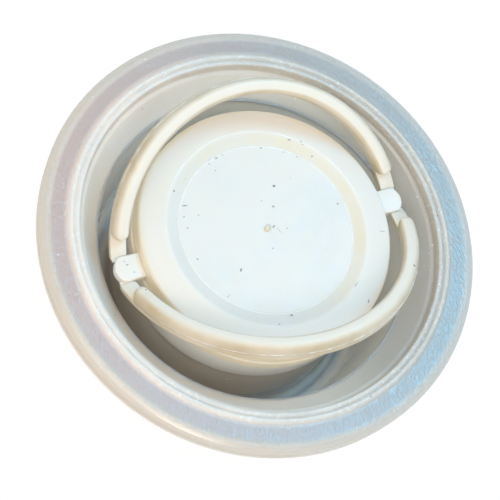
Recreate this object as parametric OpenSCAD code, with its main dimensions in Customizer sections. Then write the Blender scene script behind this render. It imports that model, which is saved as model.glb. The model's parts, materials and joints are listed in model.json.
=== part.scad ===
// Pull-up pouring spout for a pail lid, pushed down into its flange, with its screw cap on.
// Lengths are in millimetres and +Z is up. The origin is on the spout's axis, level with the
// bottom of the fold, which is what the closure stands on. The hinge line of the two bails
// runs along X, and both bails are drawn part raised, as they rest.
// Every radius follows from the plug ring, which is what has to fit the lid: outwards to the
// skirt, and inwards through the well, the bails and the cap to the pouring bore.

/* [Flange] */
// Diameter outside the plug ring, which fits inside the lid's neck
plug_d = 64; // [58:0.5:72]
// Thickness of the plug ring
plug_t = 1.2; // [0.8:0.1:1.5]
// Length of the plug ring below the seat
plug_l = 5.0; // [3.5:0.5:7]
// Width of the channel that takes the lid's neck, from the plug ring to the skirt
channel_w = 4.5; // [3.5:0.1:6]
// Thickness of the skirt that grips outside the lid's neck
skirt_t = 1.5; // [1.2:0.1:2]
// Reach of the snap bead inside that skirt
bead_w = 0.35; // [0.2:0.05:0.5]
// Height of the flat on the bead's crest
bead_flat = 0.1; // [0.05:0.05:0.3]
// Height of the channel's seat above the snap bead
seat_h = 0.7; // [0.6:0.1:1.5]
// Wall thickness of the stiff part of the spout
stiff_t = 1.5; // [1.2:0.1:1.8]
// Thickness of the brim over the channel
brim_t = 2.4; // [2:0.1:3]
// Thickness of the lip at the foot of the skirt
lip_t = 0.7; // [0.4:0.05:0.9]
// Depth of the shallow groove above the lip
lip_groove = 0.2; // [0.1:0.05:0.3]
// Radius of the rounded shoulder at the top of the skirt
shoulder_r = 0.8; // [0.5:0.1:1]
// Rise from the brim's flat band to the outer ridge's top
band_rise = 0.4; // [0.2:0.1:0.6]
// Distance of the outer ridge outside the plug ring
ridge_out = 1.0; // [0.6:0.1:1.5]
// Width of each of the two ridges
ridge_w = 0.8; // [0.5:0.1:1]
// Depth of the groove between the ridges
groove_h = 0.5; // [0.2:0.1:0.8]
// Distance of the ledge's inner edge inside the plug ring's outside
ledge_in = 1.5; // [1:0.1:2]
// Drop from the outer ridge's top to the ledge
ledge_drop = 2.3; // [1.6:0.1:3]

/* [Well] */
// Width of the sloping wall from the ledge to the step
slope_w = 3.0; // [2:0.1:4]
// Height of that wall
slope_h = 4.5; // [3:0.1:6]
// Width of the step between the stiff wall and the thin one
step_w = 0.15; // [0.1:0.05:0.4]
// Rise of that step
step_rise = 0.3; // [0.1:0.1:0.6]
// Thickness of the wall that turns inside out
film_t = 0.9; // [0.6:0.1:1.2]
// Height of the fold, from its bottom to the step
fold_h = 21.5; // [18:0.5:28]
// Clear width inside the fold
fold_gap = 3.2; // [2.6:0.1:3.6]

/* [Neck] */
// Inset of the collar from the foot of the cap's skirt
collar_in = 0.65; // [0.3:0.05:1]
// Height of the collar
collar_h = 6.6; // [4:0.2:9]
// Height of the collar's shoulder above the step
collar_up = 1.0; // [0.5:0.1:2]
// Inset of the wall below the collar
collar_step = 0.5; // [0.3:0.1:0.8]
// Height of the taper from the collar down to that wall
taper_h = 2.2; // [1:0.1:3]
// Thickness of the shoulder between the collar and the mouth
web_t = 1.6; // [1.2:0.1:2]
// Thickness of the mouth's wall
mouth_t = 1.9; // [1.4:0.1:2.4]
// Rounding of the mouth's outer edge
mouth_round = 0.5; // [0.2:0.1:0.8]
// Thickness of the tear-out seal
seal_t = 0.9; // [0.6:0.1:1.2]
// Thickness left under the seal's tear groove
tear_t = 0.3; // [0.2:0.05:0.4]
// Width of the tear groove, and its distance from the bore
tear_w = 0.7; // [0.4:0.1:1]
// Mean diameter of the seal's pull ring
ring_d = 20; // [14:1:22]
// Thickness of the pull ring
ring_t = 1.8; // [1.2:0.1:2.2]

/* [Cap] */
// Height of the cap from the skirt's foot to the highest ring on its top
cap_h = 7.0; // [6.4:0.1:9]
// Wall thickness of the skirt
cap_wall = 1.7; // [1.4:0.1:2.2]
// Height of the thicker foot of the skirt
foot_h = 2.4; // [1.5:0.1:2.6]
// Step from that foot to the skirt above it
foot_step = 0.2; // [0.1:0.05:0.3]
// Taper of the skirt on the radius, foot to edge
skirt_taper = 0.5; // [0.2:0.1:0.6]
// Rounding of the cap's outer edge
edge_r = 0.7; // [0.4:0.1:1]
// Width of the cap's crown, from the skirt's foot in to the highest ring
crown_w = 5.0; // [4:0.1:6]
// Fall of the crown from that ring to the outer edge
crown_fall = 0.8; // [0.4:0.1:1.2]
// Width of the slope from the highest ring down to the sunk panel
dish_w = 2.4; // [1.5:0.1:3]
// Depth of the panel below the highest ring
panel_h = 0.8; // [0.4:0.1:1.2]
// Thickness of the panel
panel_t = 1.2; // [1:0.1:1.6]
// Diameter of the gate mark
gate_d = 1.2; // [0.8:0.1:2]
// Height of the gate mark
gate_h = 0.4; // [0.2:0.1:0.8]
// Thickness of the sealing disc in the cap
liner_t = 1.0; // [0.6:0.1:1.5]

/* [Bails] */
// Width of the bails
bail_w = 2.7; // [2.2:0.1:3.2]
// Height of the bails, strip and rib together
bail_h = 3.1; // [2:0.1:3.4]
// Thickness of the strip below the rib
strip_t = 1.1; // [0.8:0.1:1.3]
// Inset of the rib from each edge of the strip
rib_inset = 0.15; // [0.1:0.05:0.3]
// Length of the bare strip between a lug and the rib
strip_l = 3.2; // [2:0.1:5]
// Angle at which the rear bail rests above flat
rear_tilt = 31.5; // [0:0.5:60]
// Angle at which the front bail rests above flat
front_tilt = 25.5; // [0:0.5:60]
// Height of the bails' hinge line above the foot of the skirt
hinge_h = 3.4; // [3:0.1:3.8]
// Width of the two lugs
lug_w = 4.3; // [3.5:0.1:5.5]
// Thickness of the lugs
lug_t = 1.9; // [1.4:0.1:2.2]
// Radius of a lug's outer end beyond half the lug's width
lug_blunt = 0.4; // [0.2:0.1:1]

/* [Fits] */
// Room between the flat bails and the wall of the well
bail_room = 0.7; // [0.3:0.1:1]
// Room between the cap's skirt and the flat bails
bail_gap = 1.6; // [1.2:0.1:2.2]
// Room for the thread between the mouth and the inside of the cap
thread_room = 1.3; // [1:0.1:1.6]
// Gap between the skirt's foot and the collar's shoulder
foot_gap = 0.2; // [0.1:0.05:0.4]
// Gap between the sealing disc's edge and the inside of the cap
liner_gap = 0.2; // [0.1:0.05:0.4]
// Gap between a bail's rounded end and its lug
hinge_gap = 0.1; // [0.05:0.05:0.2]
// Room between the snap bead's crest and the flat of the seat
seat_room = 0.1; // [0:0.05:0.2]

/* [Hidden] */
$fn = 128;

// Colours
natural = [0.84, 0.85, 0.82];
cream = [0.93, 0.90, 0.83];
white = [0.94, 0.95, 0.94];

// Radii from the plug ring out to the lip
plug_r = plug_d / 2;
grip_r = plug_r + channel_w;
skirt_r = grip_r + skirt_t;
ridge_r = plug_r + ridge_out;

// Radii from the plug ring in to the pouring bore
ledge_r = plug_r - ledge_in;
step_r = ledge_r - slope_w;
film_top_r = step_r - step_w;
bail_r = step_r - bail_room;
cap_r = bail_r - bail_w - bail_gap;
cap_in_r = cap_r - cap_wall;
mouth_r = cap_in_r - thread_room;
bore_r = mouth_r - mouth_t;
collar_r = cap_r - collar_in;
inner_r = collar_r - collar_step;

// The fold, a half ring in section: its middle is midway between the two walls
fold_r = fold_gap / 2;
fold_z = film_t + fold_r;
fold_mid = (film_top_r + inner_r) / 2;

// Heights of the flange
step_z = fold_h;
ledge_z = step_z + slope_h;
ridge_z = ledge_z + ledge_drop;
band_z = ridge_z - band_rise;
roof_z = band_z - brim_t;
bead_top_z = roof_z - seat_h;
lip_z = bead_top_z - 2 * bead_w - bead_flat;

// Heights of the neck
collar_z = step_z + collar_up;
collar_foot_z = collar_z - collar_h;
taper_z = collar_foot_z - taper_h;
seal_z = collar_z - web_t;
seal_top_z = seal_z + seal_t;

// Heights of the cap
cap_z = collar_z + foot_gap;
cap_top_z = cap_z + cap_h;
panel_z = cap_top_z - panel_h;
under_z = panel_z - panel_t;
rim_z = under_z - liner_t;
hinge_z = cap_z + hinge_h;

// The bails' hinge lines and sections
strip_r = strip_t / 2;
hinge_y = lug_w / 2 + hinge_gap + strip_r;
rib_w = bail_w - 2 * rib_inset;
rib_r = bail_r - bail_w / 2;
rib_start = asin((lug_w / 2 + strip_l + rib_w / 2) / rib_r);

// Small overlap that keeps joined solids from meeting on a face
sink = 0.3;

// Angles at which rounded edges run into the slopes beside them
ridge_crest = [60, 140];
inner_crest = [50, 180];
edge_end = 80;

// Points of an arc about [x, y], from angle a to angle b
function arc(x, y, r, a, b, n = 8) =
    [for (i = [0:n]) [x + r * cos(a + (b - a) * i / n), y + r * sin(a + (b - a) * i / n)]];

// The flange: lip, skirt, rounded shoulder, band, two ridges, ledge and the stiff wall of the
// well.
// Under the band are the channel with its snap bead, and the plug ring.
module spout_flange() {
    groove_z = lip_z + lip_t + 2 * lip_groove;
    crest_r = ridge_w / 3;
    groove_r = ridge_r - ridge_w;
    inner_ridge_r = groove_r - ridge_w;
    color(natural) rotate_extrude() polygon(concat(
        [[grip_r, lip_z], [skirt_r, lip_z], [skirt_r, lip_z + lip_t]],
        [[skirt_r - lip_groove, groove_z], [skirt_r, groove_z + 2 * lip_groove]],
        arc(skirt_r - shoulder_r, band_z - shoulder_r, shoulder_r, 0, 90),
        [[ridge_r + 2 * crest_r, band_z]],
        arc(ridge_r - crest_r, ridge_z - crest_r, crest_r, ridge_crest[0], ridge_crest[1], 4),
        [[groove_r, ridge_z - groove_h]],
        arc(inner_ridge_r + crest_r, ridge_z - 2 * crest_r, crest_r,
            inner_crest[0], inner_crest[1], 4),
        [[inner_ridge_r - crest_r, ledge_z + crest_r], [ledge_r, ledge_z]],
        [[step_r, step_z + step_rise], [film_top_r, step_z], [film_top_r + film_t, step_z]],
        plug_outline(),
        channel_outline()
    ));
}

// The stiff wall's outer face, and the plug ring that hangs from it
function plug_outline() =
    let (foot_r = step_r + stiff_t,
         foot_z = step_z + stiff_t / 2,
         plug_in_r = plug_r - plug_t,
         plug_z = roof_z - plug_l)
    [[foot_r, foot_z], [plug_in_r, foot_z + (plug_in_r - foot_r) * slope_h / slope_w],
     [plug_in_r, plug_z], [plug_r - plug_t / 2, plug_z], [plug_r, plug_z + plug_t / 2]];

// The channel's seat, its rounded corner and the snap bead
function channel_outline() =
    let (corner_r = bead_w + seat_room,
         crest_r = grip_r - bead_w)
    concat(
        [[plug_r, roof_z]],
        arc(grip_r - corner_r, roof_z - corner_r, corner_r, 90, 0, 4),
        [[grip_r, bead_top_z], [crest_r, bead_top_z - bead_w], [crest_r, lip_z + bead_w]]
    );

// The thin wall that turns inside out, with the fold at its foot
module rolling_wall() {
    color(natural) rotate_extrude() polygon(concat(
        [[film_top_r + film_t, step_z], [film_top_r, step_z]],
        arc(fold_mid, fold_z, fold_r, 0, -180, 12),
        arc(fold_mid, fold_z, fold_r + film_t, -180, 0, 12)
    ));
}

// The inner end: wall, collar, shoulder, mouth and tear-out seal, all one moulding
module spout_neck() {
    color(natural) {
        difference() {
            neck_body();
            tear_groove();
        }
        pull_ring();
    }
}

module neck_body() {
    wall_r = fold_mid - fold_r;
    foot_round = collar_step / 2;
    rotate_extrude() polygon(concat(
        [[wall_r - film_t, fold_z], [wall_r, fold_z]],
        [[inner_r, taper_z], [collar_r - foot_round, collar_foot_z]],
        arc(collar_r - foot_round, collar_foot_z + foot_round, foot_round, -90, 0, 4),
        [[collar_r, collar_z], [mouth_r, collar_z]],
        arc(mouth_r - mouth_round, rim_z - mouth_round, mouth_round, 0, 90, 4),
        [[bore_r, rim_z], [bore_r, seal_top_z], [0, seal_top_z], [0, seal_z]],
        [[collar_r - stiff_t, seal_z], [collar_r - stiff_t, collar_foot_z]],
        [[inner_r - film_t, taper_z]]
    ));
}

module tear_groove() {
    tear_r = bore_r - tear_w;
    translate([0, 0, seal_z + tear_t])
        difference() {
            cylinder(r = tear_r, h = seal_t);
            translate([0, 0, -sink]) cylinder(r = tear_r - tear_w, h = seal_t + 2 * sink);
        }
}

// The loop stands on a stem at the edge of the seal
module pull_ring() {
    ring_r = ring_d / 2;
    translate([0, 0, seal_top_z + ring_t])
        rotate_extrude() translate([ring_r, 0]) circle(d = ring_t, $fn = 24);
    translate([ring_r, 0, seal_top_z - sink]) cylinder(d = ring_t, h = ring_t + sink);
}

// The soft disc that the cap presses on the rim of the mouth
module cap_liner() {
    color("whitesmoke") translate([0, 0, rim_z]) cylinder(r = cap_in_r - liner_gap, h = liner_t);
}

// The cap, with a sunk panel and the two lugs that carry the bails
module screw_cap() {
    color(white) {
        cap_shell();
        for (side = [0, 180]) rotate(side) lug();
        translate([0, 0, panel_z - sink]) cylinder(d = gate_d, h = gate_h + sink);
    }
}

module cap_shell() {
    upper_r = cap_r - foot_step;
    edge_out_r = cap_r - skirt_taper;
    recess_r = cap_r - crown_w;
    edge_z = cap_top_z - crown_fall - edge_r;
    rotate_extrude() polygon(concat(
        [[cap_in_r, cap_z], [cap_r, cap_z], [cap_r, cap_z + foot_h]],
        [[upper_r, cap_z + foot_h + foot_step]],
        arc(edge_out_r - edge_r, edge_z, edge_r, 0, edge_end, 6),
        [[recess_r, cap_top_z], [recess_r - dish_w, panel_z], [0, panel_z], [0, under_z]],
        [[cap_in_r, under_z]]
    ));
}

// One lug, its outer end round, level with the outside of the bails
module lug() {
    root_r = cap_r - cap_wall / 2;
    end_r = lug_w / 2 + lug_blunt;
    translate([0, 0, hinge_z - lug_t / 2])
        intersection() {
            translate([root_r, -lug_w / 2, 0]) cube([bail_r - root_r, lug_w, lug_t]);
            translate([bail_r - end_r, 0, 0])
                union() {
                    cylinder(r = end_r, h = lug_t, $fn = 64);
                    translate([-bail_r, -lug_w, 0]) cube([bail_r, 2 * lug_w, lug_t]);
                }
        }
}

// A bail lying flat on the far side of the hinge line, drawn at its own height
module flat_bail() {
    strip();
    translate([0, 0, strip_t - sink]) rib(bail_h - strip_t + sink);
}

// The strip is a half ring that stops at the hinge line, where its ends are round
module strip() {
    in_r = bail_r - bail_w;
    end_in = sqrt(pow(in_r, 2) - pow(hinge_y, 2));
    end_out = sqrt(pow(bail_r, 2) - pow(hinge_y, 2));
    intersection() {
        rotate_extrude() translate([in_r, 0]) square([bail_w, strip_t]);
        translate([-2 * bail_r, hinge_y, -sink]) cube([4 * bail_r, 2 * bail_r, bail_h]);
    }
    for (side = [0, 1]) mirror([side, 0, 0])
        translate([end_in, hinge_y, strip_r]) rotate([0, 90, 0])
            cylinder(r = strip_r, h = end_out - end_in, $fn = 32);
}

// The rib has a rounded top and rounded ends
module rib(height) {
    span = 180 - 2 * rib_start;
    rotate(rib_start) rotate_extrude(angle = span) translate([rib_r, 0]) rib_section(height);
    for (end = [rib_start, 180 - rib_start])
        rotate(end) translate([rib_r, 0, 0])
            rotate_extrude() intersection() {
                rib_section(height);
                square([rib_w, height]);
            }
}

module rib_section(height) {
    half = rib_w / 2;
    top_r = rib_w / 3;
    polygon(concat(
        [[-half, 0], [half, 0]],
        arc(half - top_r, height - top_r, top_r, 0, 90, 6),
        arc(top_r - half, height - top_r, top_r, 90, 180, 6)
    ));
}

// Turns a flat bail up about its hinge line
module raised_bail(tilt) {
    translate([0, hinge_y, hinge_z])
        rotate([tilt, 0, 0])
            translate([0, -hinge_y, -strip_r]) flat_bail();
}

module rear_bail() {
    color(cream) raised_bail(rear_tilt);
}

module front_bail() {
    color(cream) rotate(180) raised_bail(front_tilt);
}

spout_flange();
rolling_wall();
spout_neck();
cap_liner();
screw_cap();
rear_bail();
front_bail();
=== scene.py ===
import json
import math

import bmesh
import bpy
from mathutils import Matrix, Vector


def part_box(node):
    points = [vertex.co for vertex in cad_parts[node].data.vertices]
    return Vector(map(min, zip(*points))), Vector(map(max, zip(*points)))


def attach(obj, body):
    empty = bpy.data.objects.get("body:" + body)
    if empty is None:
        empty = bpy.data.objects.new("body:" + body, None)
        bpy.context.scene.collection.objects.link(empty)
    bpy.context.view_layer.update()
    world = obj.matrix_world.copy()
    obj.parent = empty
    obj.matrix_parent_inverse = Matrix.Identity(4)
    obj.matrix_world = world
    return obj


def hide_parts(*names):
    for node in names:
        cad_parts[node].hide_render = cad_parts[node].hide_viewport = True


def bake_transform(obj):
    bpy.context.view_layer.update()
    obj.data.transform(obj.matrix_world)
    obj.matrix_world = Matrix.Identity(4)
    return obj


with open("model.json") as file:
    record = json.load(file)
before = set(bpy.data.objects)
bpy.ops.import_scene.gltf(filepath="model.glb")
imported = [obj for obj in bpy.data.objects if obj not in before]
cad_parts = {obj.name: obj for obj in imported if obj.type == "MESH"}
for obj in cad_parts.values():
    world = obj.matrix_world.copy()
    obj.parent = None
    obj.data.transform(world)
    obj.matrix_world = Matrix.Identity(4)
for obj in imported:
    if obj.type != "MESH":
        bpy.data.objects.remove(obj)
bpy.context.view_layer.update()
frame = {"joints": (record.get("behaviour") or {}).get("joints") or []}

MM = 0.001
TURN = 2 * math.pi

# Sizes in millimetres. Those that the frame holds come from it.
LIP_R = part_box("spout_flange")[1][0] / MM
RIDGE_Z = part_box("spout_flange")[1][2] / MM
STEP_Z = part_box("rolling_wall")[1][2] / MM
CAP_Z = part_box("screw_cap")[0][2] / MM
CAP_TOP_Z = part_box("screw_cap")[1][2] / MM
CAP_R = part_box("screw_cap")[1][1] / MM
BAIL_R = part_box("screw_cap")[1][0] / MM
RIM_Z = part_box("cap_liner")[0][2] / MM
UNDER_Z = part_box("cap_liner")[1][2] / MM
COLLAR_R = 21.85
HINGES = {joint["name"]: joint for joint in frame["joints"]}
HINGE_Y = HINGES["rear_bail_hinge"]["pos_m"][1] / MM
HINGE_Z = HINGES["rear_bail_hinge"]["pos_m"][2] / MM

# How far each bail stands up at rest. Its joint turns down to flat from there.
REAR_TILT = -math.radians(HINGES["rear_bail_hinge"]["range_deg"][0])
FRONT_TILT = -math.radians(HINGES["front_bail_hinge"]["range_deg"][0])

# Flange
LIP_Z = RIDGE_Z - 4.3
LIP_T = 0.7
LIP_GROOVE = 0.2
BAND_Z = RIDGE_Z - 0.4
BAND_FALL = 0.04
SHOULDER_W = 1.9
SHOULDER_H = 0.95
ROOF_Z = LIP_Z + 1.5
GRIP_R = LIP_R - 1.5
BEAD = 0.35
RIDGE_R = 33.0
RIDGE_W = 0.8
LEDGE_R = 30.5
LEDGE_Z = LIP_Z + 2.0
STEP_R = 27.5
FILM_R = STEP_R - 0.15
FILM_T = 0.9
STIFF_T = 1.5
PLUG_R = 32.0
PLUG_T = 1.2
PLUG_L = 5.0

# Fold and neck
FOLD_R = 1.6
FOLD_Z = FOLD_R + FILM_T
INNER_R = COLLAR_R - 0.5
FOLD_MID = (FILM_R + INNER_R) / 2
COLLAR_Z = CAP_Z - 0.2
COLLAR_FOOT_Z = COLLAR_Z - 6.6
MOUTH_R = 19.5
BORE_R = 17.6
SEAL_Z = COLLAR_Z - 1.6
SEAL_T = 0.9
RING_R = 10.0
RING_T = 1.8

# Cap
CAP_IN_R = CAP_R - 1.7
EDGE_R = 0.7
FOOT_H = 2.4
RECESS_R = 17.5
PANEL_R = 15.1
PANEL_Z = UNDER_Z + 1.2
CROWN_FALL = 0.8
PITCH = 3.0
THREAD_START = 0.9

# Bails and lugs
BAIL_W = 2.7
STRIP_T = 1.1
RIB_H = 2.0
RIB_W = 2.62
LUG_W = 4.3
LUG_T = 1.9
STRIP_L = 3.2

# Where along each half ring its stub of flash sits
REAR_NUB = math.radians(73)
FRONT_NUB = math.radians(152)


# Outlines: lists of (radius, height, rounding) corners, turned into points

def rounded(corners, steps=5):
    """The points of a closed outline whose corners are arcs of the radius each one gives."""
    points = []
    count = len(corners)
    for i, (x, y, size) in enumerate(corners):
        here = Vector((x, y))
        before = Vector(corners[i - 1][:2]) - here
        after = Vector(corners[(i + 1) % count][:2]) - here
        if size <= 0 or before.length < 1e-6 or after.length < 1e-6:
            points.append((x, y))
            continue
        half = before.angle(after) / 2
        reach = min(size / math.tan(half), 0.45 * before.length, 0.45 * after.length)
        radius = reach * math.tan(half)
        middle = (before.normalized() + after.normalized()).normalized()
        centre = here + middle * (radius / math.sin(half))
        start = here + before.normalized() * reach - centre
        end = here + after.normalized() * reach - centre
        turn = start.angle_signed(end)
        for k in range(steps + 1):
            spoke = Matrix.Rotation(-turn * k / steps, 2) @ start
            points.append(tuple(centre + spoke))
    return points


def arc(x, y, radius, low, high, steps=10):
    """Points of an arc about (x, y), from angle low to angle high, in degrees."""
    angles = [math.radians(low + (high - low) * i / steps) for i in range(steps + 1)]
    return [(x + radius * math.cos(a), y + radius * math.sin(a)) for a in angles]


def lathe(outline, segments=288, ripple=None):
    """A closed outline turned about the Z axis. ripple moves a point of it with the angle."""
    verts, faces, rings = [], [], []
    for r, z in outline:
        if r < 1e-6:
            rings.append([len(verts)] * segments)
            verts.append(Vector((0, 0, z)))
            continue
        rings.append(range(len(verts), len(verts) + segments))
        for k in range(segments):
            angle = TURN * k / segments
            dr, dz = ripple(r, z, angle) if ripple else (0, 0)
            verts.append(Vector(((r + dr) * math.cos(angle), (r + dr) * math.sin(angle), z + dz)))
    for i, low in enumerate(rings):
        high = rings[(i + 1) % len(rings)]
        for k in range(segments):
            nxt = (k + 1) % segments
            corners = [low[k], low[nxt], high[nxt], high[k]]
            unique = list(dict.fromkeys(corners))
            if len(unique) > 2:
                faces.append(unique)
    return verts, faces


def loft(rings):
    """Closed rings of points joined in order, with both ends capped."""
    size = len(rings[0])
    verts = [Vector(p) for ring in rings for p in ring]
    faces = []
    for i in range(len(rings) - 1):
        for k in range(size):
            nxt = (k + 1) % size
            faces.append([i * size + k, i * size + nxt, (i + 1) * size + nxt, (i + 1) * size + k])
    faces.append(list(range(size))[::-1])
    faces.append([(len(rings) - 1) * size + k for k in range(size)])
    return verts, faces


def moved(shape, matrix):
    """The shape with a matrix applied to its points."""
    return [matrix @ v for v in shape[0]], shape[1]


def piece(name, shapes, material, sharp=38):
    """One mesh object of closed shapes given in millimetres, smooth but for its sharp edges."""
    verts, faces = [], []
    for shape_verts, shape_faces in shapes:
        start = len(verts)
        verts += [v * MM for v in shape_verts]
        faces += [[start + i for i in face] for face in shape_faces]
    mesh = bpy.data.meshes.new(name)
    mesh.from_pydata(verts, [], faces)
    mesh.validate()
    mesh.update()
    bpy_object = bpy.data.objects.new(name, mesh)
    bpy.context.scene.collection.objects.link(bpy_object)
    fix_normals(mesh)
    mesh.polygons.foreach_set("use_smooth", [True] * len(mesh.polygons))
    mesh.set_sharp_from_angle(angle=math.radians(sharp))
    mesh.materials.append(material)
    return bpy_object


def fix_normals(mesh):
    """Turns all faces of closed shapes outwards."""
    work = bmesh.new()
    work.from_mesh(mesh)
    bmesh.ops.recalc_face_normals(work, faces=work.faces)
    work.to_mesh(mesh)
    work.free()


# Materials

def new_material(name):
    """A new material with its node tree and shader."""
    material = bpy.data.materials.new(name)
    material.use_nodes = True
    nodes = material.node_tree.nodes
    shader = nodes["Principled BSDF"]
    return material, material.node_tree, shader


def noise(tree, scale, detail=3.0, rough=0.55, stretch=(1, 1, 1)):
    """A noise texture on the piece's own place, scale in patches a metre."""
    place = tree.nodes.new("ShaderNodeTexCoord")
    mapping = tree.nodes.new("ShaderNodeMapping")
    mapping.inputs["Scale"].default_value = stretch
    texture = tree.nodes.new("ShaderNodeTexNoise")
    texture.inputs["Scale"].default_value = scale
    texture.inputs["Detail"].default_value = detail
    texture.inputs["Roughness"].default_value = rough
    tree.links.new(place.outputs["Object"], mapping.inputs["Vector"])
    tree.links.new(mapping.outputs["Vector"], texture.inputs["Vector"])
    return texture.outputs["Fac"]


def ramp(tree, value, stops, smooth=True):
    """Colours or greys along a value: stops are (position, colour)."""
    node = tree.nodes.new("ShaderNodeValToRGB")
    node.color_ramp.interpolation = "EASE" if smooth else "LINEAR"
    while len(node.color_ramp.elements) < len(stops):
        node.color_ramp.elements.new(0.5)
    for element, (position, colour) in zip(node.color_ramp.elements, stops):
        element.position = position
        element.color = (*colour, 1) if isinstance(colour, tuple) else (colour,) * 3 + (1,)
    tree.links.new(value, node.inputs["Fac"])
    return node.outputs["Color"]


def mixed(tree, factor, a, b, blend="MIX"):
    """Colour a mixed towards colour b. Each may be a socket or a colour."""
    node = tree.nodes.new("ShaderNodeMix")
    node.data_type = "RGBA"
    node.blend_type = blend
    for socket, value in ((node.inputs[0], factor), (node.inputs[6], a), (node.inputs[7], b)):
        if isinstance(value, bpy.types.NodeSocket):
            tree.links.new(value, socket)
        elif isinstance(value, tuple):
            socket.default_value = (*value, 1)
        else:
            socket.default_value = value
    return node.outputs[2]


def bump(tree, shader, layers):
    """Stacks bumps from (height socket, depth in metres) pairs on the shader."""
    normal = None
    for height, depth in layers:
        node = tree.nodes.new("ShaderNodeBump")
        node.inputs["Distance"].default_value = depth
        node.inputs["Strength"].default_value = 1.0
        tree.links.new(height, node.inputs["Height"])
        if normal:
            tree.links.new(normal, node.inputs["Normal"])
        normal = node.outputs["Normal"]
    tree.links.new(normal, shader.inputs["Normal"])


def radius_and_height(tree):
    """Sockets for the distance from the Z axis and the height, in metres."""
    place = tree.nodes.new("ShaderNodeTexCoord")
    split = tree.nodes.new("ShaderNodeSeparateXYZ")
    flat = tree.nodes.new("ShaderNodeVectorMath")
    flat.operation = "MULTIPLY"
    flat.inputs[1].default_value = (1, 1, 0)
    length = tree.nodes.new("ShaderNodeVectorMath")
    length.operation = "LENGTH"
    tree.links.new(place.outputs["Object"], split.inputs[0])
    tree.links.new(place.outputs["Object"], flat.inputs[0])
    tree.links.new(flat.outputs["Vector"], length.inputs[0])
    return length.outputs["Value"], split.outputs["Z"]


def spread(tree, value, low, high):
    """The value as 0 at low and 1 at high."""
    node = tree.nodes.new("ShaderNodeMapRange")
    node.inputs["From Min"].default_value = low
    node.inputs["From Max"].default_value = high
    tree.links.new(value, node.inputs["Value"])
    return node.outputs["Result"]


def product(tree, *values):
    """The values multiplied together."""
    result = values[0]
    for value in values[1:]:
        node = tree.nodes.new("ShaderNodeMath")
        node.operation = "MULTIPLY"
        for socket, item in zip(node.inputs, (result, value)):
            if isinstance(item, bpy.types.NodeSocket):
                tree.links.new(item, socket)
            else:
                socket.default_value = item
        result = node.outputs[0]
    return result


def zone(tree, value, low, high, soft):
    """1 where a value in metres lies between two places in millimetres, with soft edges."""
    rise = spread(tree, value, (low - soft) * MM, (low + soft) * MM)
    fall = spread(tree, value, (high + soft) * MM, (high - soft) * MM)
    return product(tree, rise, fall)


def facing_up(tree):
    """How far a surface faces up, from 0 on a wall to 1 on a flat top."""
    place = tree.nodes.new("ShaderNodeTexCoord")
    split = tree.nodes.new("ShaderNodeSeparateXYZ")
    tree.links.new(place.outputs["Normal"], split.inputs[0])
    return split.outputs["Z"]


def facing_out(tree):
    """How far a surface faces away from the Z axis, from -1 inwards to 1 outwards."""
    place = tree.nodes.new("ShaderNodeTexCoord")
    flat = tree.nodes.new("ShaderNodeVectorMath")
    flat.operation = "MULTIPLY"
    flat.inputs[1].default_value = (1, 1, 0)
    spoke = tree.nodes.new("ShaderNodeVectorMath")
    spoke.operation = "NORMALIZE"
    dot = tree.nodes.new("ShaderNodeVectorMath")
    dot.operation = "DOT_PRODUCT"
    tree.links.new(place.outputs["Object"], flat.inputs[0])
    tree.links.new(flat.outputs["Vector"], spoke.inputs[0])
    tree.links.new(spoke.outputs["Vector"], dot.inputs[0])
    tree.links.new(place.outputs["Normal"], dot.inputs[1])
    return dot.outputs["Value"]


def towards(tree, degrees, low, high):
    """0 to 1 across the piece in one direction, between two places in millimetres."""
    place = tree.nodes.new("ShaderNodeTexCoord")
    dot = tree.nodes.new("ShaderNodeVectorMath")
    dot.operation = "DOT_PRODUCT"
    angle = math.radians(degrees)
    dot.inputs[1].default_value = (math.cos(angle), math.sin(angle), 0)
    tree.links.new(place.outputs["Object"], dot.inputs[0])
    return spread(tree, dot.outputs["Value"], low * MM, high * MM)


# Directions across the photo in degrees about the Z axis, from the X axis. The colours that change along
# them are painted light and shade, warmer on its left and cooler on its right.
PHOTO_RIGHT = -15
PHOTO_NEAR = -140
PHOTO_FAR = 100
SLOPE_SHADE_SIDE = 30


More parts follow.
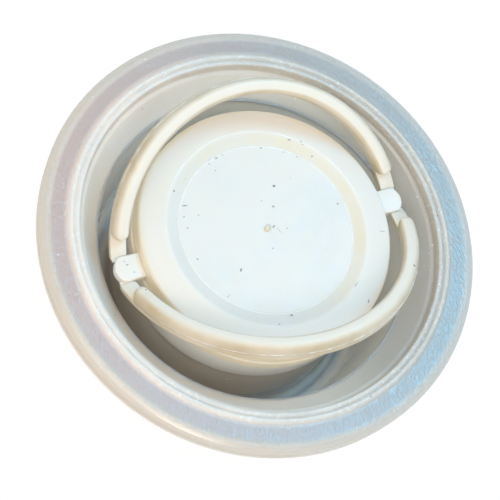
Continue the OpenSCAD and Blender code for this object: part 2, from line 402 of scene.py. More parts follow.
def natural_plastic():
    """Milky translucent polyethylene: smooth walls, a grained band and ridges with painted white glints.
    """
    material, tree, shader = new_material("natural_plastic")
    radius, height = radius_and_height(tree)
    top = spread(tree, height, (BAND_Z - 1.6) * MM, (BAND_Z - 1.0) * MM)
    band = product(tree, zone(tree, radius, RIDGE_R + 0.6, LIP_R - 1.6, 0.5), top)
    sheen = product(tree, zone(tree, radius, RIDGE_R + 0.1, LIP_R - 0.9, 0.2), top)
    ridges = product(tree, zone(tree, radius, LEDGE_R + 0.3, RIDGE_R + 0.3, 0.25), top)
    step = product(tree, zone(tree, height, STEP_Z - 0.45, STEP_Z + 0.3, 0.08),
                   zone(tree, radius, STEP_R - 0.5, STEP_R + 0.4, 0.1))
    below = spread(tree, height, (STEP_Z + 0.1) * MM, (STEP_Z - 0.1) * MM)
    neck = spread(tree, radius, (COLLAR_R + 1.65) * MM, (COLLAR_R + 0.65) * MM)
    collar = product(tree, neck, spread(tree, height, (COLLAR_FOOT_Z - 0.3) * MM, COLLAR_FOOT_Z * MM))
    rim = spread(tree, radius, (LIP_R - 2.2) * MM, (LIP_R - 1.2) * MM)
    # A painted shade line in the crease inside the shoulder, on the near side only.
    crease = product(tree, zone(tree, radius, LIP_R - 2.0, LIP_R - 1.5, 0.25),
                     towards(tree, PHOTO_NEAR, 15, 34), 0.55)
    lip_top = LIP_Z + LIP_T
    lip = product(tree, rim, spread(tree, height, (lip_top + 0.1) * MM, (lip_top - 0.1) * MM))

    cloud = noise(tree, 60, 4)
    tone = ramp(tree, cloud, [(0.3, (0.94, 0.94, 0.94)), (0.7, (1.0, 1.0, 1.0))])
    # Painted light: the plastic is warmer and brighter on the left and cooler and darker on the right.
    across = towards(tree, PHOTO_RIGHT, -32, 32)
    left_tone, middle_tone, right_tone = (0.99, 0.87, 0.80), (0.84, 0.81, 0.77), (0.60, 0.60, 0.585)
    colour = ramp(tree, across, [(0.1, left_tone), (0.5, middle_tone), (0.9, right_tone)])
    colour = mixed(tree, 1.0, colour, tone, "MULTIPLY")
    # The film below the step is painted paler, as light that shines through the thin wall.
    colour = mixed(tree, below, colour, (0.96, 0.92, 0.87))
    # The neck is painted darker: painted shade in the well under the cap.
    colour = mixed(tree, neck, colour, (0.66, 0.605, 0.535))
    # The collar is painted lighter: painted light on its face below the cap.
    colour = mixed(tree, collar, colour, (0.97, 0.92, 0.87))
    # Painted light on the band: a pink light on its left and a painted blue reflection of the window on
    # its right.
    band_tone = mixed(tree, across, (0.64, 0.515, 0.485), (0.455, 0.505, 0.53))
    colour = mixed(tree, band, colour, band_tone)
    # Painted light on the rim, warmer on the left and cooler on the right.
    colour = mixed(tree, rim, colour, mixed(tree, across, (0.72, 0.66, 0.60), (0.62, 0.62, 0.61)))
    # The crease's painted shade.
    colour = mixed(tree, crease, colour, (0.46, 0.44, 0.40))
    # The lip is painted pale: painted light along its thin edge.
    colour = mixed(tree, lip, colour, (0.97, 0.91, 0.85))
    pale = ramp(tree, noise(tree, 140, 3, stretch=(1, 1, 0.3)), [(0.35, 0.35), (0.65, 1.0)])
    # Painted light on the ridges, lighter on the left and darker on the right.
    ridge_tone = mixed(tree, across, (0.80, 0.77, 0.74), (0.64, 0.62, 0.59))
    colour = mixed(tree, product(tree, ridges, pale), colour, ridge_tone)
    # Painted glints: broken white highlights on the ridges.
    glint = product(tree, ramp(tree, noise(tree, 1300, 2), [(0.56, 0.0), (0.68, 0.45)]), ridges)
    colour = mixed(tree, glint, colour, (0.93, 0.93, 0.91))
    # A pale painted highlight along the step's edge.
    colour = mixed(tree, step, colour, (0.98, 0.89, 0.78))
    fleck = ramp(tree, noise(tree, 900, 1), [(0.77, 0.0), (0.80, 1.0)])
    colour = mixed(tree, fleck, colour, (0.90, 0.90, 0.88))
    speck = ramp(tree, noise(tree, 520, 1), [(0.80, 0.0), (0.82, 1.0)])
    colour = mixed(tree, speck, colour, (0.42, 0.38, 0.33))
    tree.links.new(colour, shader.inputs["Base Color"])

    smooth = ramp(tree, noise(tree, 120, 2), [(0.3, 0.20), (0.7, 0.27)])
    rough = mixed(tree, sheen, smooth, (0.28, 0.28, 0.28))
    rough = mixed(tree, ridges, rough, (0.52, 0.52, 0.52))
    rough = mixed(tree, below, rough, (0.38, 0.38, 0.38))
    rough = mixed(tree, step, rough, (0.8, 0.8, 0.8))
    trough = spread(tree, height, (FOLD_Z + 4.0) * MM, (FOLD_Z + 2.5) * MM)
    rough = mixed(tree, trough, rough, (0.08, 0.08, 0.08))
    tree.links.new(rough, shader.inputs["Roughness"])
    shader.inputs["IOR"].default_value = 1.51
    shader.inputs["Specular IOR Level"].default_value = 1.0
    shader.inputs["Subsurface Weight"].default_value = 1.0
    shader.inputs["Subsurface Radius"].default_value = (1.0, 0.93, 0.82)
    shader.inputs["Subsurface Scale"].default_value = 1.8 * MM

    grain = ramp(tree, noise(tree, 1900, 2, 0.6, stretch=(1, 0.45, 1)), [(0.35, 0.0), (0.65, 1.0)])
    chatter = ramp(tree, noise(tree, 700, 2, stretch=(1, 1, 0.2)), [(0.4, 0.0), (0.6, 1.0)])
    bump(tree, shader, [
        (product(tree, grain, sheen), 0.06 * MM),
        (product(tree, chatter, ridges), 0.03 * MM),
    ])
    return material


def aged_tone(tree, colour, speck_colour):
    """Small dark specks that sit in the plastic."""
    speck = ramp(tree, noise(tree, 620, 1), [(0.785, 0.0), (0.80, 1.0)])
    return mixed(tree, speck, colour, speck_colour)


def finish_white(tree, shader, colour):
    """The surface of the white plastic: satin, slightly soft inside, with a fine texture."""
    tree.links.new(colour, shader.inputs["Base Color"])
    rough = ramp(tree, noise(tree, 420, 3), [(0.3, 0.34), (0.7, 0.46)])
    tree.links.new(rough, shader.inputs["Roughness"])
    shader.inputs["Subsurface Weight"].default_value = 0.4
    shader.inputs["Subsurface Radius"].default_value = (1.0, 0.85, 0.6)
    shader.inputs["Subsurface Scale"].default_value = 1.2 * MM
    bump(tree, shader, [(noise(tree, 1500, 2), 0.006 * MM), (noise(tree, 120, 2), 0.05 * MM)])


def cap_plastic():
    """White plastic: a clean panel, painted beige shade on the slope round it, painted cream shade on its
    edge and skirt.
    """
    material, tree, shader = new_material("cap_white")
    radius, height = radius_and_height(tree)
    patch = ramp(tree, noise(tree, 70, 3), [(0.35, 0.3), (0.65, 1.0)])
    broken = ramp(tree, noise(tree, 260, 2), [(0.4, 0.25), (0.6, 1.0)])
    wall = product(tree, spread(tree, facing_up(tree), 0.8, 0.3),
                   spread(tree, radius, (CAP_R + 0.5) * MM, (CAP_R + 0.2) * MM))
    panel = spread(tree, radius, (PANEL_R + 0.1) * MM, (PANEL_R - 0.1) * MM)
    slope = zone(tree, radius, PANEL_R + 0.2, RECESS_R - 0.3, 0.35)
    edge = product(tree, zone(tree, radius, CAP_R - 1.3, CAP_R + 0.3, 0.5), patch,
                   towards(tree, PHOTO_FAR, -8, 12))
    crease = zone(tree, radius, RECESS_R - 0.12, RECESS_R + 0.1, 0.07)
    inner_crease = zone(tree, radius, PANEL_R - 0.12, PANEL_R + 0.1, 0.07)

    smear = ramp(tree, noise(tree, 90, 4, 0.6), [(0.42, 0.0), (0.72, 0.8)])
    colour = mixed(tree, panel, (0.92, 0.87, 0.81), (0.90, 0.845, 0.785))
    colour = mixed(tree, product(tree, panel, smear), colour, (0.83, 0.82, 0.79))
    # Painted shade on the slope round the panel: grey all round, warm cream in patches on one side.
    slope_shade = product(tree, slope, towards(tree, SLOPE_SHADE_SIDE, -10, 12), patch)
    colour = mixed(tree, product(tree, slope, 0.5), colour, (0.80, 0.795, 0.78))
    colour = mixed(tree, slope_shade, colour, (0.88, 0.80, 0.64))
    # Painted warm shade in patches on the far side of the edge.
    colour = mixed(tree, edge, colour, (0.88, 0.80, 0.63))
    # Painted highlights: broken pale lines along the slope's outer and inner rims.
    colour = mixed(tree, product(tree, crease, broken), colour, (0.93, 0.93, 0.90))
    colour = mixed(tree, product(tree, inner_crease, broken), colour, (0.95, 0.95, 0.93))
    # Painted shade: the skirt and other side walls are painted cream where they face sideways.
    colour = mixed(tree, wall, colour, (0.97, 0.86, 0.68))
    finish_white(tree, shader, aged_tone(tree, colour, (0.35, 0.32, 0.28)))
    return material


def bail_plastic():
    """The bails: white on top, painted cream shade down their flanks, browner here and there."""
    material, tree, shader = new_material("bail_cream")
    patch = ramp(tree, noise(tree, 90, 3), [(0.35, 0.6), (0.65, 1.0)])
    out = facing_out(tree)
    either = mixed(tree, 1.0, spread(tree, out, -0.25, 0.7), spread(tree, out, -0.55, -0.85), "ADD")
    flank = product(tree, either, patch)
    brown_patch = ramp(tree, noise(tree, 210, 2), [(0.62, 0.0), (0.74, 0.55)])
    # Painted shade: the outer faces and the inner faces that look down are painted cream.
    colour = mixed(tree, flank, (0.94, 0.88, 0.80), (0.64, 0.55, 0.40))
    colour = mixed(tree, product(tree, brown_patch, flank), colour, (0.62, 0.46, 0.27))
    finish_white(tree, shader, aged_tone(tree, colour, (0.33, 0.26, 0.19)))
    return material


def flash_plastic():
    """The mould's line along a bail, painted pale as a highlight."""
    material, tree, shader = new_material("bail_flash")
    colour = ramp(tree, noise(tree, 500, 2), [(0.35, (0.80, 0.74, 0.62)), (0.6, (0.95, 0.93, 0.88))])
    tree.links.new(colour, shader.inputs["Base Color"])
    shader.inputs["Roughness"].default_value = 0.4
    return material


def dirt():
    """The grime in the cap's scratches and pits."""
    material, tree, shader = new_material("dirt")
    colour = ramp(tree, noise(tree, 3000, 2), [(0.3, (0.34, 0.31, 0.27)), (0.7, (0.66, 0.63, 0.58))])
    tree.links.new(colour, shader.inputs["Base Color"])
    shader.inputs["Roughness"].default_value = 0.8
    return material


def tan_stub():
    """The browned plastic at the gate."""
    material, tree, shader = new_material("tan_stub")
    colour = ramp(tree, noise(tree, 1200, 2), [(0.3, (0.72, 0.62, 0.42)), (0.7, (0.86, 0.80, 0.66))])
    tree.links.new(colour, shader.inputs["Base Color"])
    shader.inputs["Roughness"].default_value = 0.35
    return material


def foam():
    """The liner's pale foam."""
    material, tree, shader = new_material("liner_foam")
    colour = ramp(tree, noise(tree, 1500, 2), [(0.3, (0.78, 0.78, 0.75)), (0.7, (0.86, 0.86, 0.84))])
    tree.links.new(colour, shader.inputs["Base Color"])
    shader.inputs["Roughness"].default_value = 0.75
    bump(tree, shader, [(noise(tree, 2500, 2), 0.05 * MM)])
    return material


# Spout

def flange_outline():
    """Section of the flange: lip, shoulder, band, ridges, well's upper wall, plug ring and channel."""
    groove_r = RIDGE_R - RIDGE_W
    inner_r = groove_r - RIDGE_W
    crest = RIDGE_W / 3
    wall_r = STEP_R + STIFF_T
    wall_z = STEP_Z + STIFF_T / 2
    plug_in = PLUG_R - PLUG_T
    slope = (LEDGE_Z - STEP_Z) / (LEDGE_R - STEP_R)
    shoulder_z = BAND_Z - BAND_FALL - SHOULDER_H
    groove_z = LIP_Z + LIP_T + 2 * LIP_GROOVE
    corners = [
        (GRIP_R, LIP_Z, 0.1), (LIP_R, LIP_Z, 0.15), (LIP_R, LIP_Z + LIP_T, 0.15),
        (LIP_R - LIP_GROOVE, groove_z, 0.2), (LIP_R, groove_z + 2 * LIP_GROOVE, 0.3),
    ]
    shoulder = [(LIP_R - SHOULDER_W + SHOULDER_W * math.cos(math.radians(a)),
                 shoulder_z + SHOULDER_H * math.sin(math.radians(a)), 0) for a in range(0, 91, 6)]
    corners += shoulder + [
        (RIDGE_R + 0.45, BAND_Z, 0.15), (RIDGE_R - 0.1, RIDGE_Z, 0.15),
        (RIDGE_R - RIDGE_W * 0.6, RIDGE_Z - 0.02, 0.2),
        (groove_r, RIDGE_Z - 0.55, 0.15), (inner_r + crest * 1.8, RIDGE_Z - 0.28, 0.25),
        (inner_r - 0.05, RIDGE_Z - 0.32, 0.25), (inner_r - crest, LEDGE_Z + 0.35, 0.3),
        (LEDGE_R, LEDGE_Z, 0.35), (STEP_R + 0.2, STEP_Z + 0.2, 0.05), (FILM_R + 0.05, STEP_Z + 0.15, 0.05),
        (FILM_R, STEP_Z, 0),
        (FILM_R + FILM_T, STEP_Z, 0), (wall_r, wall_z, 0.3),
        (plug_in, wall_z + (plug_in - wall_r) * slope, 0.15), (plug_in, ROOF_Z - PLUG_L, 0.2),
        (PLUG_R - PLUG_T / 2, ROOF_Z - PLUG_L, 0.1), (PLUG_R, ROOF_Z - PLUG_L + PLUG_T / 2, 0.2),
        (PLUG_R, ROOF_Z, 0.25), (GRIP_R, ROOF_Z, 0.3), (GRIP_R, ROOF_Z - 0.7, 0.2),
        (GRIP_R - BEAD, ROOF_Z - 1.05, 0.1), (GRIP_R - BEAD, LIP_Z + BEAD, 0.1),
    ]
    return rounded(corners)


def lip_ripple(r, z, angle):
    """The flash along the lip is a little uneven."""
    if z > LIP_Z + LIP_T or r < LIP_R - 0.1:
        return 0, 0
    wave = math.sin(5 * angle + 0.6) + 0.6 * math.sin(13 * angle) + 0.4 * math.sin(31 * angle)
    return -0.03 - 0.015 * wave, 0


def make_spout(material):
    """The one flexible moulding, as a fixed flange, the rolling wall's film in its rest shape and a neck
    that is pulled up.
    """
    flange = piece("flange", [lathe(flange_outline(), ripple=lip_ripple)], material)
    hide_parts("spout_flange")
    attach(flange, "root")

    outer_leg = arc(FOLD_MID, FOLD_Z, FOLD_R, 0, -90, 10)
    outer_skin = arc(FOLD_MID, FOLD_Z, FOLD_R + FILM_T, -90, 0, 10)
    steps = 40
    inside = [(FILM_R + (FOLD_MID + FOLD_R - FILM_R) * i / steps,
               STEP_Z + (FOLD_Z - STEP_Z) * i / steps) for i in range(steps)]
    outside = [(r + FILM_T, z) for r, z in inside[::-1]]
    wall = piece("rolling_wall_film", [lathe(inside + outer_leg + outer_skin + outside)], material)
    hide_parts("rolling_wall")
    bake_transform(wall)

    neck = piece("neck_moulding", [lathe(neck_outline()), neck_thread()] + pull_ring(), material)
    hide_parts("spout_neck")
    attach(neck, "neck")


def neck_outline():
    """Section of the neck: inner half of the fold, wall, collar, mouth and tear-out seal."""
    wall_r = FOLD_MID - FOLD_R
    step_z = COLLAR_FOOT_Z - 2.2
    inner_leg = arc(FOLD_MID, FOLD_Z, FOLD_R, -90, -180, 10)
    outer_skin = arc(FOLD_MID, FOLD_Z, FOLD_R + FILM_T, -180, -90, 10)
    tear_r = BORE_R - 0.7
    wall = [
        (INNER_R, step_z, 0.4), (INNER_R + 0.25, COLLAR_FOOT_Z, 0.1), (COLLAR_R, COLLAR_FOOT_Z, 0.2),
        (COLLAR_R, COLLAR_Z, 0.15), (MOUTH_R, COLLAR_Z, 0.2), (MOUTH_R, RIM_Z, 0.4),
        (BORE_R, RIM_Z, 0.3), (BORE_R, SEAL_Z + SEAL_T, 0.2), (tear_r, SEAL_Z + SEAL_T, 0.1),
        (tear_r, SEAL_Z + 0.3, 0.1), (tear_r - 0.7, SEAL_Z + 0.3, 0.1),
        (tear_r - 0.7, SEAL_Z + SEAL_T, 0.1), (0, SEAL_Z + SEAL_T, 0), (0, SEAL_Z, 0),
        (COLLAR_R - STIFF_T, SEAL_Z, 0.4), (COLLAR_R - STIFF_T, COLLAR_FOOT_Z, 0.2),
        (INNER_R - FILM_T, step_z, 0.4), (wall_r - FILM_T, FOLD_Z, 0),
    ]
    return inner_leg + rounded([(wall_r, FOLD_Z, 0)] + wall)[1:-1] + outer_skin


def helix(root_r, crest_r, start_z, first, turns, foot=0.75, top=0.3):
    """A thread's ridge that rises one pitch a turn, with ends that fade out."""
    rings = []
    steps = int(turns * 120)
    for i in range(steps + 1):
        angle = first + TURN * turns * i / steps
        fade = min(1.0, i / 12, (steps - i) / 12)
        z = start_z + PITCH * (angle - first) / TURN
        crest = root_r + (crest_r - root_r) * max(fade, 0.05)
        section = [(root_r, z - foot), (crest, z - top), (crest, z + top), (root_r, z + foot)]
        rings.append([(r * math.cos(angle), r * math.sin(angle), h) for r, h in section])
    return loft(rings)


def neck_thread():
    """The neck's thread, somewhat less than one turn."""
    return helix(MOUTH_R - 0.1, MOUTH_R + 0.75, COLLAR_Z + THREAD_START, 0.4, 0.85)


def pull_ring():
    """The loop that tears the seal out, on its stem."""
    z = SEAL_Z + SEAL_T + RING_T
    loop = lathe(arc(RING_R, z, RING_T / 2, 0, 345, 23), 96)
    stem_outline = rounded([(0, SEAL_Z + SEAL_T - 0.3, 0), (RING_T / 2 + 0.5, SEAL_Z + SEAL_T - 0.3, 0),
                            (RING_T / 2, SEAL_Z + SEAL_T + 0.5, 0.4), (RING_T / 2, z, 0), (0, z, 0)])
    stem = moved(lathe(stem_outline, 32), Matrix.Translation((RING_R, 0, 0)))
    return [loop, stem]


# Cap

def cap_outline():
    """Section of the cap: skirt, foot bead, crown, sloping recess and panel."""
    edge_r = CAP_R - 0.5
    upper_r = CAP_R - 0.2
    edge_z = CAP_TOP_Z - CROWN_FALL
    return rounded([
        (CAP_IN_R, CAP_Z, 0.15), (CAP_R, CAP_Z, 0.2), (CAP_R, CAP_Z + FOOT_H, 0.15),
        (upper_r, CAP_Z + FOOT_H + 0.2, 0.15), (edge_r, edge_z, EDGE_R),
        (RECESS_R + 0.15, CAP_TOP_Z, 0.15), (RECESS_R - 0.1, CAP_TOP_Z - 0.06, 0.1),
        (PANEL_R + 0.2, PANEL_Z, 0.1), (PANEL_R, PANEL_Z + 0.05, 0.05), (PANEL_R - 0.2, PANEL_Z, 0.1),
        (4, PANEL_Z, 0),
        (0, PANEL_Z, 0), (0, UNDER_Z, 0), (CAP_IN_R, UNDER_Z, 0.3),
    ])


def lug_ring(inset, z):
    """The outline of a lug, drawn in from its edge by inset."""
    half = LUG_W / 2 - inset
    root_r = CAP_R - 1.0
    end_r = LUG_W * 0.6 - inset
    centre = BAIL_R - LUG_W * 0.6
    limit = math.degrees(math.asin(min(1, half / end_r)))
    end = arc(centre, 0, end_r, -limit, limit, 14)
    return [(root_r, -half, z)] + [(x, y, z) for x, y in end] + [(root_r, half, z)]


def lug():
    """A flat tongue with rounded edges, out along the X axis."""
    low, high, soft = HINGE_Z - LUG_T / 2, HINGE_Z + LUG_T / 2, 0.3
    rings = []
    for a in range(0, 91, 18):
        rings.append(lug_ring(soft * (1 - math.sin(math.radians(a))),
                              low + soft * (1 - math.cos(math.radians(a)))))
    for a in range(90, -1, -18):
        rings.append(lug_ring(soft * (1 - math.sin(math.radians(a))),
                              high - soft * (1 - math.cos(math.radians(a)))))
    return loft(rings)


def gate_mark():
    """The oval stub where the plastic was let into the mould."""
    top = PANEL_Z + 0.35
    foot = PANEL_Z - 0.2
    stub = lathe(rounded([(0, foot, 0), (0.62, foot, 0), (0.45, top, 0.2), (0, top, 0)]), 48)
    return moved(stub, Matrix.Rotation(math.radians(35), 4, "Z") @ Matrix.Diagonal((1.35, 0.9, 1, 1)))


def cap_top(x, y):
    """The height of the cap's top, or of a lug's, at a place seen from above."""
    r = math.hypot(x, y)
    if r > CAP_R:
        return HINGE_Z + LUG_T / 2
    if r < PANEL_R:
        return PANEL_Z
    if r < RECESS_R:
        return PANEL_Z + (CAP_TOP_Z - PANEL_Z) * (r - PANEL_R) / (RECESS_R - PANEL_R)
    return CAP_TOP_Z - CROWN_FALL * (r - RECESS_R) / (CAP_R - 0.5 - RECESS_R)


# Marks on the cap, read off the photo: the hour on a clock face laid over it, the distance as a
# share of the panel's radius, the length and width in millimetres, and the slant seen, in degrees.
MARKS = [
    (0.5, 0.28, 0.45, 0.35, 0), (11.6, 0.33, 0.3, 0.2, 0), (2.4, 0.08, 0.7, 0.3, 45),
    (3.0, 0.23, 0.25, 0.2, 0), (5.5, 0.24, 0.25, 0.2, 0), (2.35, 0.92, 0.4, 0.35, 0),
    (8.2, 0.91, 0.35, 0.3, 0),
    (10.8, 0.98, 0.5, 0.3, 30), (10.65, 1.0, 0.35, 0.3, 0), (10.95, 0.98, 0.3, 0.2, 0),
    (10.6, 0.97, 0.3, 0.25, 0), (10.6, 0.87, 0.25, 0.2, 0), (11.85, 0.98, 0.45, 0.3, 10),
    (0.4, 0.98, 0.3, 0.2, 0), (0.75, 0.99, 0.35, 0.25, 0), (0.45, 1.13, 0.55, 0.18, -15),
    (0.7, 1.16, 0.4, 0.2, -20), (0.75, 1.14, 0.3, 0.2, -20), (9.25, 0.95, 0.35, 0.25, 0),
    (9.0, 0.91, 0.3, 0.25, 0), (9.35, 0.79, 0.25, 0.2, 0), (9.5, 0.96, 1.1, 0.22, 5),
    (4.2, 1.38, 0.6, 0.35, 80), (4.05, 1.17, 2.2, 0.26, 50), (5.5, 1.03, 0.5, 0.4, 0),
    (5.8, 1.13, 0.3, 0.2, 0), (4.55, 1.0, 0.3, 0.2, 45), (3.05, 1.34, 1.4, 0.12, -5),
    (7.0, 0.95, 0.8, 0.08, 40), (3.35, 0.14, 1.6, 0.06, -45),
]

# Specks on the left lug, as (x, y, length, width) in millimetres
LUG_SPECKS = [(-24.6, 0.5, 0.35, 0.25), (-23.9, -1.0, 0.3, 0.2), (-24.9, 1.2, 0.25, 0.2)]


def on_cap(degrees):
    """The level direction that the camera sees at an angle, anticlockwise from the photo's right."""
    axes = camera_place.to_3x3()
    seen = axes @ Vector((math.cos(math.radians(degrees)), math.sin(math.radians(degrees)), 0))
    back = axes @ Vector((0, 0, 1))
    return (seen - back * (seen.z / back.z)).to_2d().normalized()


def flake(place, along, length, width):
    """A thin flake of dirt that lies in the cap's top."""
    aside = Vector((-along.y, along.x))
    rings = []
    for rise in (-0.03, 0.012):
        ring = []
        for k in range(12):
            angle = TURN * k / 12
            uneven = 1 + 0.18 * math.sin(3 * angle + place.x)
            spot = along * (length / 2 * math.cos(angle)) + aside * (width / 2 * math.sin(angle))
            x, y = place + spot * uneven
            ring.append((x, y, cap_top(x, y) + rise))
        rings.append(ring)
    return loft(rings)


def cap_marks():
    """All the flakes on the cap and on its left lug."""
    flakes = []
    for hour, share, length, width, slant in MARKS:
        flakes.append(flake(on_cap(90 - 30 * hour) * share * PANEL_R, on_cap(slant), length, width))
    for x, y, length, width in LUG_SPECKS:
        flakes.append(flake(Vector((x, y)), Vector((1, 0)), length, width))
    return flakes


def cap_thread():
    """Half a turn of ridge inside the cap, a quarter pitch above the start of the neck's."""
    return helix(CAP_IN_R + 0.1, CAP_IN_R - 0.7, COLLAR_Z + THREAD_START + PITCH / 4, 0.4, 0.5)


def make_cap(material, liner_material):
    """The cap with its lugs, thread, gate stub and marks, and the liner inside it."""
    half_turn = Matrix.Rotation(math.pi, 4, "Z")
    shapes = [lathe(cap_outline()), cap_thread(), lug(), moved(lug(), half_turn)]
    cap = piece("cap_moulding", shapes, material)
    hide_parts("screw_cap")
    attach(cap, "cap")
    gate = piece("gate_stub", [gate_mark()], tan_stub())
    marks = piece("cap_marks", cap_marks(), dirt())
    for detail in (gate, marks):
        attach(detail, "cap")

    liner_r = CAP_IN_R - 0.2
    outline = rounded([(0, RIM_Z, 0), (liner_r, RIM_Z, 0.25), (liner_r, UNDER_Z, 0.25), (0, UNDER_Z, 0)])
    liner = piece("liner_disc", [lathe(outline, 128)], liner_material)
    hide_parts("cap_liner")
    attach(liner, "liner")


# Bails

def ring_point(angle, out, up):
    """A point of the flat bail, out from its middle line and up from the strip's underside."""
    r = BAIL_R - BAIL_W / 2 + out
    return Vector((r * math.cos(angle), r * math.sin(angle), up))


def strip():
    """The thin strip, a half ring with straight rounded ends at the hinge line."""
    soft, crisp = 0.2, 0.08
    half_w, half_t = BAIL_W / 2, STRIP_T / 2
    section = rounded([(-half_w, 0, soft), (half_w, 0, soft), (half_w, STRIP_T, crisp),
                       (-half_w, STRIP_T, crisp)], 3)
    middle_r = BAIL_R - BAIL_W / 2
    first = math.asin(HINGE_Y / middle_r)
    steps = 150
    rings = []
    for end in (0, 1):
        side = []
        for k in range(8):
            back = half_t * math.cos(math.radians(90 * k / 8))
            thin = math.sin(math.radians(90 * k / 8))
            angle = first if end == 0 else math.pi - first
            ring = []
            for u, v in section:
                p = ring_point(angle, u, half_t + (v - half_t) * max(thin, 0.08))
                p.y = HINGE_Y - back
                ring.append(p)
            side.append(ring)
        if end == 0:
            rings = side
        else:
            tail = side[::-1]
    for i in range(steps + 1):
        angle = first + (math.pi - 2 * first) * i / steps
        ring = []
        for u, v in section:
            p = ring_point(angle, u, v)
            if i in (0, steps):
                p.y = HINGE_Y
            ring.append(p)
        rings.append(ring)
    return loft(rings + tail)


def rib():
    """The rib on the strip, round on top and at its ends."""
    half = RIB_W / 2
    section = rounded([(-half, -0.2, 0), (half, -0.2, 0), (half, RIB_H, 1.15), (-half, RIB_H, 0.9)], 7)
    first = math.asin((LUG_W / 2 + STRIP_L) / (BAIL_R - BAIL_W / 2))
    last = math.pi - first
    round_angle = half / (BAIL_R - BAIL_W / 2)
    rings = []
    steps = 190
    for i in range(steps + 1):
        t = i / steps
        angle = first + (last - first) * t
        near = min(angle - first, last - angle) / round_angle
        size = math.sqrt(max(0.0, 1 - (1 - min(near, 1.0)) ** 2))
        size = max(size, 0.02)
        low = 1 - 0.35 * (1 - size)
        rings.append([ring_point(angle, u * size, STRIP_T + v * low) for u, v in section])
    return loft(rings)


def parting_line():
    """The uneven line left by the mould along the outside of the bail."""
    rings = []
    steps = 240
    first = math.asin((LUG_W / 2 + STRIP_L + 4) / (BAIL_R - BAIL_W / 2))
    for i in range(steps + 1):
        t = i / steps
        angle = first + (math.pi - 2 * first) * t
        wave = math.sin(9 * TURN * t) + math.sin(23 * TURN * t + 1) + math.sin(41 * TURN * t + 2)
        size = (0.075 + 0.02 * wave) * min(1.0, 8 * t + 0.05, 8 * (1 - t) + 0.05)
        rings.append([ring_point(angle, BAIL_W / 2 - 0.03 + size * math.cos(math.radians(a)),
                                 STRIP_T + 0.05 + size * math.sin(math.radians(a)))
                      for a in range(0, 360, 60)])
    return loft(rings)


def nub(angle, height):
    """A stub of flash left on the bail's outer edge."""
    base = ring_point(angle, BAIL_W / 2 - 0.15, height)
    rings = []
    for k in range(6):
        a = math.radians(90 * k / 5)
        size, out = 0.55 * math.cos(a) + 0.02, 0.35 * math.sin(a)
        ring = []
        for j in range(12):
            b = TURN * j / 12
            ring.append(base + Vector((out * math.cos(angle), out * math.sin(angle), 0))
                        + Vector((-math.sin(angle), math.cos(angle), 0)) * size * math.cos(b)
                        + Vector((0, 0, 1)) * size * 0.6 * math.sin(b))
        rings.append(ring)
    return loft(rings)


def raised(tilt):
    """Turns a flat bail up about its hinge line, into its place at rest."""
    to_hinge = Matrix.Translation((0, HINGE_Y, HINGE_Z))
    from_flat = Matrix.Translation((0, -HINGE_Y, -STRIP_T / 2))
    return to_hinge @ Matrix.Rotation(tilt, 4, "X") @ from_flat


def hinge_web(side, tilt):
    """The thin skin that joins a lug to a bail."""
    inner, outer = BAIL_R - BAIL_W + 0.2, BAIL_R - 0.25
    rings = []
    steps = 14
    for i in range(steps + 1):
        t = i / steps
        y = LUG_W / 2 - 0.35 + t * (HINGE_Y - LUG_W / 2 + 0.75)
        neck = abs(2 * t - 1)
        half_t = 0.17 + 0.12 * neck ** 2
        over = max(0.0, y - HINGE_Y)
        z = HINGE_Z + over * math.tan(tilt)
        corners = [(inner, z - half_t), (outer, z - half_t), (outer, z + half_t), (inner, z + half_t)]
        rings.append([(side * x, y, h) for x, h in corners])
    return loft(rings)


def make_bail(name, tilt, turned, nub_angle, material, line_material):
    """One bail in its place at rest, its mould's line, and the two skins that hold it to the lugs."""
    place = Matrix.Rotation(math.pi if turned else 0, 4, "Z")
    up = place @ raised(tilt)
    shapes = [moved(shape, up) for shape in (strip(), rib(), nub(nub_angle, STRIP_T))]
    bail = piece(name + "_moulding", shapes, material)
    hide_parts(name)
    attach(bail, name)
    line = piece(name + "_line", [moved(parting_line(), up)], line_material)
    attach(line, name)
    for side, word in ((1, "a"), (-1, "b")):
        web = piece(f"{name}_web_{word}", [moved(hinge_web(side, tilt), place)], material)
        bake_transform(web)


# Stage

# Share of the floor's brightness, as the camera sees it, that no shadow darkens
FLOOR_GLOW = 0.86
FLOOR_STRENGTH = 1.06
FLOOR_HALF = 3.0

# The sky lights everything alike, a little warm
SKY_COLOUR = (1.0, 0.945, 0.85, 1)
SKY_STRENGTH = 0.6

# Lamps: name, place seen from the camera and disk size in metres, watts, colour. The blue window is small
# and strong, so that the band's flat top mirrors it.
LAMPS = [
    ("window", (0.35, 0.31, 0.37), 0.22, 1.3, (0.03, 0.56, 1.0)),
    ("overhead", (0.0, 0.12, 0.9), 0.6, 1.75, (1.0, 0.93, 0.81)),
    ("lamp", (0.05, -0.34, 0.82), 0.35, 1.8, (1.0, 0.85, 0.74)),
]


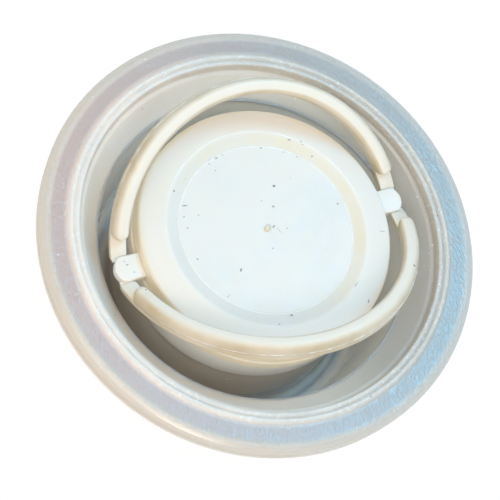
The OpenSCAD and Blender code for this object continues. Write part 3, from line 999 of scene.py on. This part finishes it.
def make_floor():
    """A pale floor that the camera sees as nearly white, a little darker in the object's shadow."""
    mesh = bpy.data.meshes.new("floor")
    size = FLOOR_HALF
    corners = [(-size, -size, 0), (size, -size, 0), (size, size, 0), (-size, size, 0)]
    mesh.from_pydata(corners, [], [(0, 1, 2, 3)])
    floor = bpy.data.objects.new("floor", mesh)
    bpy.context.scene.collection.objects.link(floor)
    material, tree, shader = new_material("floor")
    shader.inputs["Base Color"].default_value = (0.86, 0.86, 0.86, 1)
    shader.inputs["Roughness"].default_value = 0.9
    glow = tree.nodes.new("ShaderNodeEmission")
    glow.inputs["Color"].default_value = (1, 1, 1, 1)
    glow.inputs["Strength"].default_value = FLOOR_STRENGTH
    rays = tree.nodes.new("ShaderNodeLightPath")
    both = tree.nodes.new("ShaderNodeMixShader")
    tree.links.new(product(tree, rays.outputs["Is Camera Ray"], FLOOR_GLOW), both.inputs["Fac"])
    tree.links.new(shader.outputs["BSDF"], both.inputs[1])
    tree.links.new(glow.outputs["Emission"], both.inputs[2])
    tree.links.new(both.outputs["Shader"], tree.nodes["Material Output"].inputs["Surface"])
    mesh.materials.append(material)


def make_world():
    """An even warm sky."""
    world = bpy.data.worlds.new("studio")
    bpy.context.scene.world = world
    world.use_nodes = True
    sky = world.node_tree.nodes["Background"]
    sky.inputs["Color"].default_value = SKY_COLOUR
    sky.inputs["Strength"].default_value = SKY_STRENGTH


def area_light(name, place, target, size, power, colour):
    """A disk lamp that faces the target."""
    data = bpy.data.lights.new(name, "AREA")
    data.shape = "DISK"
    data.size = size
    data.energy = power
    data.color = colour
    light = bpy.data.objects.new(name, data)
    light.location = place
    light.rotation_mode = "QUATERNION"
    light.rotation_quaternion = (Vector(target) - Vector(place)).to_track_quat("-Z", "Y")
    bpy.context.scene.collection.objects.link(light)


# Camera: the view of the photograph, found by fitting its ellipses. Angles in degrees, the
# distance and offsets in millimetres, the focal length in pixels of a 500 pixel frame.
VIEW_TILT = 26.68
VIEW_ROLL = -37.18
VIEW_TURN = -55.0
VIEW_DISTANCE = 235.0
VIEW_SHIFT = (0.13, 2.46)
VIEW_FOCAL = 1379.2
FRAME_PIXELS = 500


def make_camera():
    """The photo's camera. Returns its place and axes."""
    tilt, roll = math.radians(VIEW_TILT), math.radians(VIEW_ROLL)
    turn = Matrix.Rotation(math.radians(VIEW_TURN), 3, "Z")
    right = turn @ Vector((1, 0, 0))
    up = turn @ Vector((0, math.cos(tilt), math.sin(tilt)))
    back = turn @ Vector((0, -math.sin(tilt), math.cos(tilt)))
    aim = Vector((0, 0, LIP_Z))
    place = aim - right * VIEW_SHIFT[0] - up * VIEW_SHIFT[1] + back * VIEW_DISTANCE
    rolled_right = right * math.cos(roll) - up * math.sin(roll)
    rolled_up = right * math.sin(roll) + up * math.cos(roll)
    data = bpy.data.cameras.new("camera")
    data.sensor_width = 36
    data.lens = VIEW_FOCAL / FRAME_PIXELS * data.sensor_width
    data.clip_start, data.clip_end = 0.01, 10
    camera = bpy.data.objects.new("camera", data)
    camera.matrix_world = Matrix.Translation(place * MM) @ Matrix(
        (rolled_right, rolled_up, back)).transposed().to_4x4()
    bpy.context.scene.collection.objects.link(camera)
    bpy.context.scene.camera = camera
    return camera.matrix_world.copy()


bpy.context.scene.view_settings.view_transform = "Standard"
camera_place = make_camera()
make_world()
make_floor()


def from_camera(x, y, z):
    """A place in metres given along the camera's right, up and back from the lip's middle."""
    return Vector((0, 0, LIP_Z * MM)) + camera_place.to_3x3() @ Vector((x, y, z))


target = (0, 0, LIP_Z * MM)
for lamp_name, lamp_place, lamp_size, watts, lamp_colour in LAMPS:
    area_light(lamp_name, from_camera(*lamp_place), target, lamp_size, watts, lamp_colour)

make_spout(natural_plastic())
make_cap(cap_plastic(), foam())
bail_cream = bail_plastic()
bail_flash = flash_plastic()
make_bail("rear_bail", REAR_TILT, False, REAR_NUB, bail_cream, bail_flash)
make_bail("front_bail", FRONT_TILT, True, FRONT_NUB, bail_cream, bail_flash)
